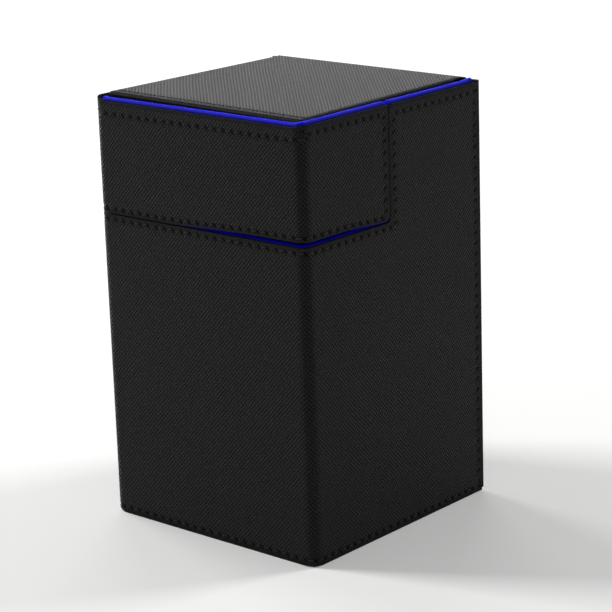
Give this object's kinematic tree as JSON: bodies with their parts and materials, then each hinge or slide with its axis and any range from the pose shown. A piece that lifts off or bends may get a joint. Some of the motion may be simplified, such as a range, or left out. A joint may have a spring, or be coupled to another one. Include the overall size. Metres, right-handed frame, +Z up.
{
  "type": "card deck box",
  "caption": "Upright box for a deck of sleeved trading cards, wrapped in embossed black sheet, with a hinged flap lid and a lift-out tray.",
  "frame": {"origin": "centre of the base's underside, on the surface that the box stands on", "axes": "+Z up along the tall side, -Y towards the front of the flap, +X to the right seen from the front"},
  "size_m": [0.0878, 0.0874, 0.1407],
  "materials": {
    "embossed_leatherette": "fine lattice emboss, matt",
    "smooth_leatherette": "smooth, matt",
    "microfibre": "short brushed nap, soft sheen",
    "greyboard": "raw pressed paper board",
    "sewing_thread": "twisted polyester thread",
    "magnet": "nickel plated"
  },
  "bodies": {
    "box": {"body_wrap": "embossed_leatherette", "back_cover": "embossed_leatherette", "base_cover": "embossed_leatherette", "front_board": "greyboard", "left_board": "greyboard", "right_board": "greyboard", "back_board": "greyboard", "base_board": "greyboard", "front_lining": "microfibre", "left_lining": "microfibre", "right_lining": "microfibre", "back_lining": "microfibre", "base_lining": "microfibre", "body_edge_roll": "microfibre", "back_edge_roll": "microfibre", "body_magnets": "magnet", "cut_edge_stitching": "sewing_thread", "rear_edge_stitching": "sewing_thread", "base_edge_stitching": "sewing_thread"},
    "lid": {"lid_skirt": "embossed_leatherette", "skirt_front_board": "greyboard", "skirt_left_board": "greyboard", "skirt_right_board": "greyboard", "skirt_lining": "microfibre", "skirt_top_roll": "microfibre", "skirt_bottom_roll": "microfibre", "lid_magnets": "magnet", "skirt_stitching": "sewing_thread", "lid_top_cover": "embossed_leatherette", "lid_top_board": "greyboard", "lid_under_board": "greyboard", "lid_lining": "microfibre", "panel_stitching": "sewing_thread"},
    "tray": {"tray_cover": "smooth_leatherette", "tray_base_board": "greyboard", "tray_front_board": "greyboard", "tray_back_board": "greyboard", "tray_left_board": "greyboard", "tray_right_board": "greyboard", "tray_lining": "microfibre"}
  },
  "joints": [
    {"name": "lid_hinge", "type": "hinge", "parent": "box", "child": "lid", "pos_m": [0, 0.0429, 0.1399], "axis": [-1, 0, 0], "range_deg": [0, 180]},
    {"name": "tray_slide", "type": "slide", "parent": "box", "child": "tray", "axis": [0, 0, 1], "range_m": [0, 0.097]}
  ]
}
